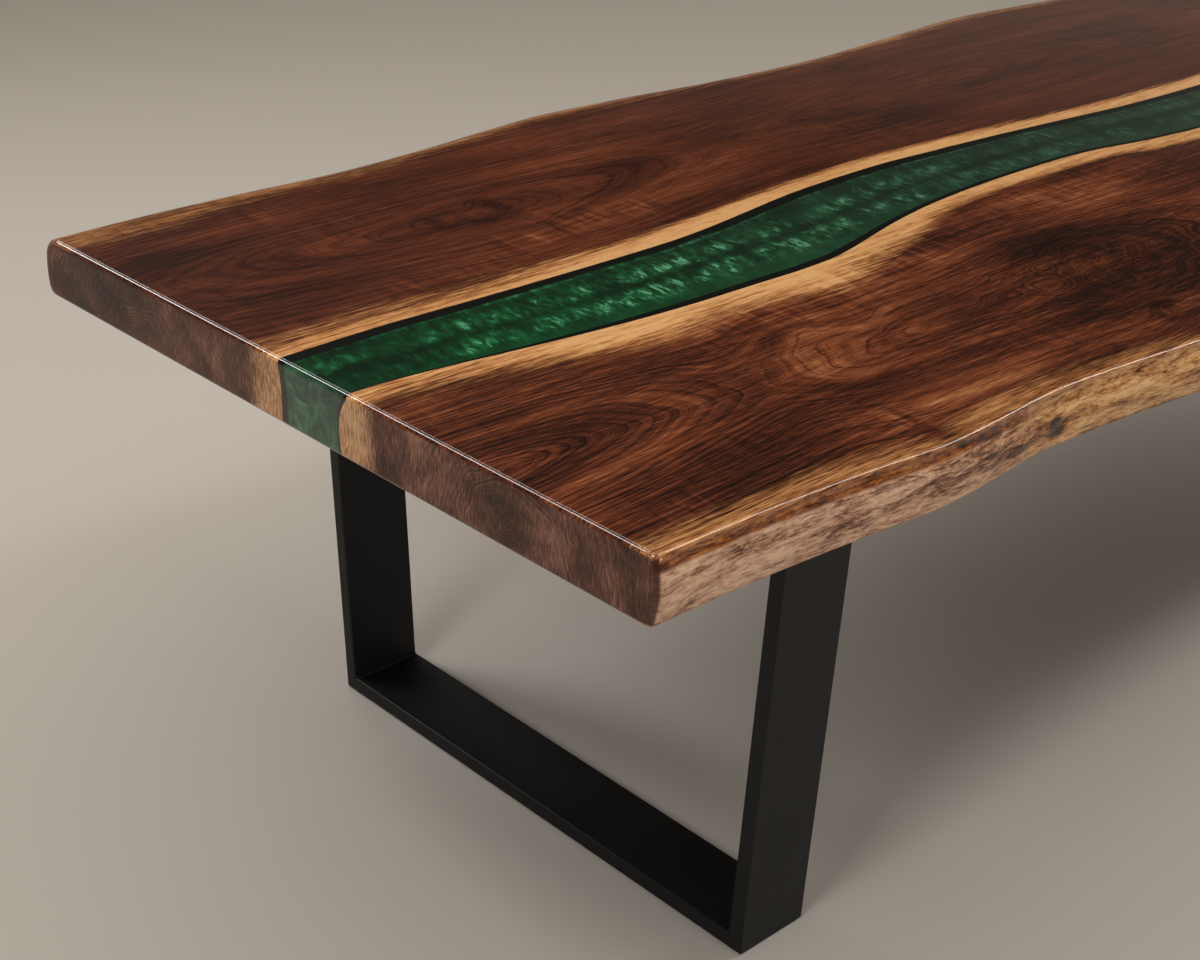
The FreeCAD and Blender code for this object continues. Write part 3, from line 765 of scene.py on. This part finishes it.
def greenResin():
    # Epoxy cast in one pour, tinted emerald with pearl pigment that set in two rows of
    # feathery wisps, nearly black where it is clear against the wood, under the same coat
    material, new, shader = newMaterial("emerald pearl epoxy")
    place = new("TexCoord")
    flow = new("Attribute", attribute_name="flow").outputs["Vector"]
    margin = new("Attribute", attribute_name="margin").outputs["Vector"]
    rear, front, row = new("SeparateXYZ", (flow,)).outputs
    rearWidth, frontWidth, reflectionGrey = new("SeparateXYZ", (margin,)).outputs
    x, y, z = new("SeparateXYZ", (place.outputs["Object"],)).outputs
    leaning = new("CombineXYZ", (new("Math", (y, resin["lean"], x), **timesPlus), y, z))
    values = {}
    for key, (perMetre, detail, roughness, distortion) in resinLayers.items():
        stretched = new("VectorMath", (leaning, perMetre), **times)
        settings = {"Vector": stretched, "W": resin["seed"], "Scale": 1.0, "Detail": detail,
                    "Roughness": roughness, "Distortion": distortion}
        values[key] = new("TexNoise", settings, noise_dimensions="4D")

    # two soft rows of wisps with a dark line between them, and a plain band along the front
    # bank; the front row is faint at the near end
    wavyRow = weightedSum(new, values, row, {"drift": 0.012, "haze": 0.016, "wisps": 0.014})
    rows = {key: new("MapRange", (wavyRow, *limits), **smooth)
            for key, limits in resinRows.items()}
    rearRow = new("Math", (rows["rearStart"], rows["rearEnd"]), **times)
    frontRow = new("Math", (rows["frontStart"], rows["frontEnd"]), **times)
    frontShown = new("MapRange", (x, -1.34, -1.20, 0.30, 1.0), **smooth)
    bothRows = new("Math", (frontRow, frontShown, rearRow), **timesPlus)
    bothRows = new("Math", (bothRows, 0.80, 0.20), **timesPlus)
    blocks = new("MapRange", (values["blocks"], 0.32, 0.56, 0.25, 1.0), **smooth)
    crest = new("MapRange", (values["wisps"], 0.34, 0.62))
    crest = new("Math", (crest, blocks), **times)
    # bright glints on the crests, fewer at the near end and far away
    glint = new("MapRange", (values["strands"], 0.42, 0.62), **smooth)
    near = new("MapRange", (x, -1.30, -0.90, 0.45, 0.95))
    far = new("MapRange", (x, -0.90, 0.00, 0.9, 0.30))
    for factor in (crest, near, far):
        glint = new("Math", (glint, factor), **times)
    values.update(crest=crest, glint=glint, band=rows["band"])
    feathers = weightedSum(new, values, 0.05, {"crest": 0.26, "glint": 1.0})
    value = new("Math", (feathers, bothRows), **times)
    # faint threads along the rear bank
    thread = new("Math", (rear, -resin["thread"]))
    thread = new("Math", (thread,), **sizeOf)
    thread = new("MapRange", (thread, 0.0, 0.004, 1.0, 0.0), **smooth)
    values["thread"] = new("Math", (thread, crest), **times)
    value = weightedSum(new, values, value, {"band": 0.13, "haze": 0.42, "thread": 0.35})
    value = new("Math", (value, -0.05))

    # a sawn end shows rounder clouds
    facing = new("SeparateXYZ", (place.outputs["Normal"],)).outputs["X"]
    facing = new("Math", (facing,), **sizeOf)
    endShare = new("MapRange", (facing, 0.6, 0.9), **smooth)
    clouds = new("MapRange", (values["swirl"], 0.30, 0.72, 0.12, 0.92))
    value = new("Mix", {"Factor": endShare, 2: value, 3: clouds})
    pearl = new("ValToRGB", (value,), stops=resin["pearl"])
    # painted reflection: the sawn end and the far part of the river are washed out grey
    reflectedDull = new("ValToRGB", (value,), stops=resin["reflectedDull"])
    reflectionShare = new("Math", (endShare, 0.7, reflectionGrey), use_clamp=True, **timesPlus)
    colour = new("Mix", {"Factor": reflectionShare, 6: pearl, 7: reflectedDull}, data_type="RGBA")

    # clear dark margins along both banks, the rear one narrower down the sawn end
    narrow = new("MapRange", (endShare, 0.0, 1.0, -1.0, -0.5))
    rearOff = new("Math", (rearWidth, narrow, rear), **timesPlus)
    rearOff = new("Math", (values["haze"], 0.010, rearOff), **timesPlus)
    rearClear = new("MapRange", (rearOff, 0.002, 0.008, 1.0, 0.0), **smooth)
    frontOff = new("Math", (frontWidth, -1.0, front), **timesPlus)
    frontClear = new("MapRange", (frontOff, -0.001, 0.0015, 1.0, 0.0), **smooth)
    clear = new("Math", (rearClear, frontClear), operation="MAXIMUM")
    layers = {"Factor": clear, 6: colour, 7: linear(resin["clear"])}
    colour = new("Mix", layers, data_type="RGBA")
    connect(shader, {"Base Color": colour, "Roughness": 0.4, "Specular IOR Level": 0.06,
                     "Coat Weight": 1.0, "Coat Roughness": 0.05, "Coat IOR": 1.5})
    return material


def powderCoat():
    # Matt black polyester powder coat on steel: a fine orange peel that softens highlights
    material, new, shader = newMaterial("matt black powder coat")
    xyz = new("TexCoord").outputs["Object"]
    peel = new("TexNoise", {"Vector": xyz, "Scale": 700.0, "Detail": 2.0})        # 1.4 mm
    patches = new("TexNoise", {"Vector": xyz, "Scale": 9.0, "Detail": 3.0})       # 110 mm
    connect(shader, {
        "Base Color": new("ValToRGB", (patches,), stops=((0.3, "#060606"), (0.7, "#0b0b0b"))),
        "Roughness": new("MapRange", (patches, 0.3, 0.7, 0.46, 0.54)),
        "Normal": new("Bump", {"Height": peel, "Strength": 0.25, "Distance": 0.0002}),
        "Specular IOR Level": 0.3})
    return material


def zincSteel():
    # Bright zinc plate on steel screws: pale grey metal, mottled by its crystals, which are
    # drawn 3 mm across, larger than they are, so that they show
    material, new, shader = newMaterial("zinc plated steel")
    xyz = new("TexCoord").outputs["Object"]
    mottle = new("TexNoise", {"Vector": xyz, "Scale": 300.0, "Detail": 3.0})
    connect(shader, {
        "Base Color": new("ValToRGB", (mottle,), stops=((0.3, "#a9abad"), (0.7, "#c4c6c8"))),
        "Roughness": new("MapRange", (mottle, 0.3, 0.7, 0.25, 0.4)),
        "Metallic": 1.0})
    return material


def blackNylon():
    # Black polyamide strip, sawn: dull, with a faint grain of about 1 mm
    material, new, shader = newMaterial("black polyamide")
    xyz = new("TexCoord").outputs["Object"]
    grain = new("TexNoise", {"Vector": xyz, "Scale": 900.0, "Detail": 2.0})
    connect(shader, {
        "Base Color": new("ValToRGB", (grain,), stops=((0.3, "#0f0f0f"), (0.7, "#181818"))),
        "Roughness": 0.6})
    return material


print("stage 1: the top")
pieces = {
    "walnut_front_slab": {"node": "front_slab", "left": frontOuterSide, "right": frontInnerSide,
                          "rounds": (board["cornerRound"], 0.0), "barkSide": -1,
                          "figure": frontFigure, "material": "black walnut, front log"},
    "walnut_rear_slab": {"node": "rear_slab", "left": rearInnerSide, "right": rearOuterSide,
                         "rounds": (0.0, board["cornerRound"]), "barkSide": 1,
                         "figure": rearFigure, "material": "black walnut, rear log"},
}
barkRelief = {
    "height": 0.8,
    "inset": 1.5,
    "waves": (90.0, 14.0),      # longest and shortest
    "squeeze": 1.4,             # how much shorter they are down the edge
    "cut": (-2.2, 1.8),         # of the waves, below and above
    "seedStep": 5,              # from the seed of the figure
    "fade": 60.0,               # distance from a sawn end over which it comes in
    "starts": (0.11, 0.17),     # shares of the way down where colour and relief begin
    "end": 0.98,
    "blend": 0.10,
}


def barkOf(side, vertexCount):
    # 0 on the planed faces, rising to 1 over the rounding of the outer live edge: first the
    # colour, then the relief, which leaves the polished arris alone
    a, b = board["slabCount"], board["sideCount"]
    ringCount = 2 * (a + b) - 4
    column = np.arange(len(stations()) * ringCount) % ringCount
    step = column - (a - 1) if side > 0 else -column % ringCount
    t = np.clip(step / (b - 1), 0, 1)
    onEdge = (step >= 0) & (step < b)
    shares = np.zeros((2, vertexCount))
    for share, start in zip(shares, barkRelief["starts"]):
        rising = np.clip((t - start) / barkRelief["blend"], 0, 1)
        falling = np.clip((barkRelief["end"] - t) / barkRelief["blend"], 0, 1)
        share[:len(t)] = rising * falling * onEdge
    return shares


for name, piece in pieces.items():
    vertices, faces = boardSurface(piece["left"], piece["right"], *piece["rounds"],
                                   board["slabCount"])
    bark, carved = barkOf(piece["barkSide"], len(vertices))
    x, _, z = vertices.T
    carved *= np.clip((board["length"] / 2 - np.abs(x)) / barkRelief["fade"], 0, 1)
    low, high = barkRelief["cut"]
    uneven = waves(x, z * barkRelief["squeeze"], piece["figure"]["seed"] + barkRelief["seedStep"],
                   *barkRelief["waves"])
    relief = barkRelief["height"] * (np.clip(uneven, low, high) - high) - barkRelief["inset"]
    vertices[:, 1] += piece["barkSide"] * carved * relief
    made = makeObject(name, vertices, faces, figureOf(piece["figure"], vertices, bark),
                      walnut(piece["material"], piece["figure"]))
    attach(made, "root")
    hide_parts(piece["node"])
    print("  made", name, len(faces), "quads")

vertices, faces = boardSurface(frontInnerSide, rearInnerSide, 0.0, 0.0, board["riverCount"])
river = makeObject("resin_river", vertices, faces, resinFlow(vertices), greenResin())
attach(river, "root")
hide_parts("river_resin")

print("stage 2: steel and nylon")
finishes = {"black_powder_coat": powderCoat(), "zinc_steel": zincSteel(), "nylon": blackNylon()}
for part in frame["record"]["subparts"]:
    if part["material_slot"] in finishes:
        materials = frame["nodes"][part["node"]].data.materials
        materials.clear()
        materials.append(finishes[part["material_slot"]])

print("stage 3: studio")
studio = {
    "floorReach": 30.0,
    "floorColour": "#b4ada4",
    # over sin(height): a lit backdrop low down, dark above it, diffusers overhead
    "sky": ((0.0, "#6c6963"), (0.18, "#6c6963"), (0.29, "#1a1917"), (0.6, "#121110"),
            (0.86, "#fff6ea")),
    "aim": (-0.45, 0.0, 0.3),
    "lamps": (
        # name, place, width and length, watts, roll and spread in degrees
        ("rear left strip", (-2.25, 3.20, 3.40), (0.55, 2.6), 38.0, -35, 130),
        ("rear strip", (-0.06, 3.17, 3.23), (0.16, 2.5), 14.0, 20, 180),
        ("front right strip", (2.86, -1.55, 3.50), (0.6, 3.6), 90.0, 30, 180),
        ("left softbox", (-4.50, -1.10, 2.90), (1.2, 1.2), 61.0, 0, 180),
        ("front softbox", (-0.70, -5.20, 1.05), (1.8, 1.2), 57.0, 0, 180),
    ),
}


def makeStudio():
    r = studio["floorReach"]
    mesh = bpy.data.meshes.new("studio floor")
    mesh.from_pydata([(-r, -r, 0), (r, -r, 0), (r, r, 0), (-r, r, 0)], [], [(0, 1, 2, 3)])
    material, _, shader = newMaterial("seamless paper")      # dull and even
    connect(shader, {"Base Color": linear(studio["floorColour"]), "Roughness": 0.85,
                     "Specular IOR Level": 0.2})
    mesh.materials.append(material)
    floor = bpy.data.objects.new("studio_floor", mesh)
    bpy.context.scene.collection.objects.link(floor)

    world = bpy.data.worlds.new("studio")
    world.use_nodes = True
    new = partial(add, world.node_tree)
    height = new("SeparateXYZ", (new("TexCoord").outputs["Generated"],)).outputs["Z"]
    sky = new("ValToRGB", (height,), stops=studio["sky"])
    connect(world.node_tree.nodes["Background"], {"Color": sky})
    bpy.context.scene.world = world

    for name, place, (width, length), watts, roll, spread in studio["lamps"]:
        light = bpy.data.lights.new(name, "AREA")
        light.shape = "RECTANGLE"
        light.size, light.size_y = width, length
        light.energy = watts
        light.spread = math.radians(spread)
        lamp = bpy.data.objects.new(name, light)
        lamp.location = place
        turn = (Vector(studio["aim"]) - Vector(place)).to_track_quat("-Z", "Y")
        lamp.rotation_euler = (turn @ Quaternion((0, 0, 1), math.radians(roll))).to_euler()
        bpy.context.scene.collection.objects.link(lamp)


# yaw is turned from +X towards +Y, pitch is downwards, in radians; lens and sensor in mm
camera = {"place": (-2.51091, -1.67864, 1.60666), "lens": 58.75, "sensor": 36.0,
          "yaw": 0.81713, "pitch": 0.46112, "roll": 0.02248}


def makeCamera():
    yaw, pitch, roll = camera["yaw"], camera["pitch"], camera["roll"]
    forward = Vector((math.cos(yaw) * math.cos(pitch), math.sin(yaw) * math.cos(pitch),
                      -math.sin(pitch)))
    level = Vector((math.sin(yaw), -math.cos(yaw), 0))
    upright = level.cross(forward)
    right = math.cos(roll) * level + math.sin(roll) * upright
    up = math.cos(roll) * upright - math.sin(roll) * level
    lens = bpy.data.cameras.new("camera")
    lens.lens, lens.sensor_width = camera["lens"], camera["sensor"]
    made = bpy.data.objects.new("camera", lens)
    turn = Matrix((right, up, -forward)).transposed()
    made.matrix_world = Matrix.Translation(camera["place"]) @ turn.to_4x4()
    bpy.context.scene.collection.objects.link(made)
    bpy.context.scene.camera = made


makeStudio()
makeCamera()
bpy.context.scene.view_settings.view_transform = "Standard"
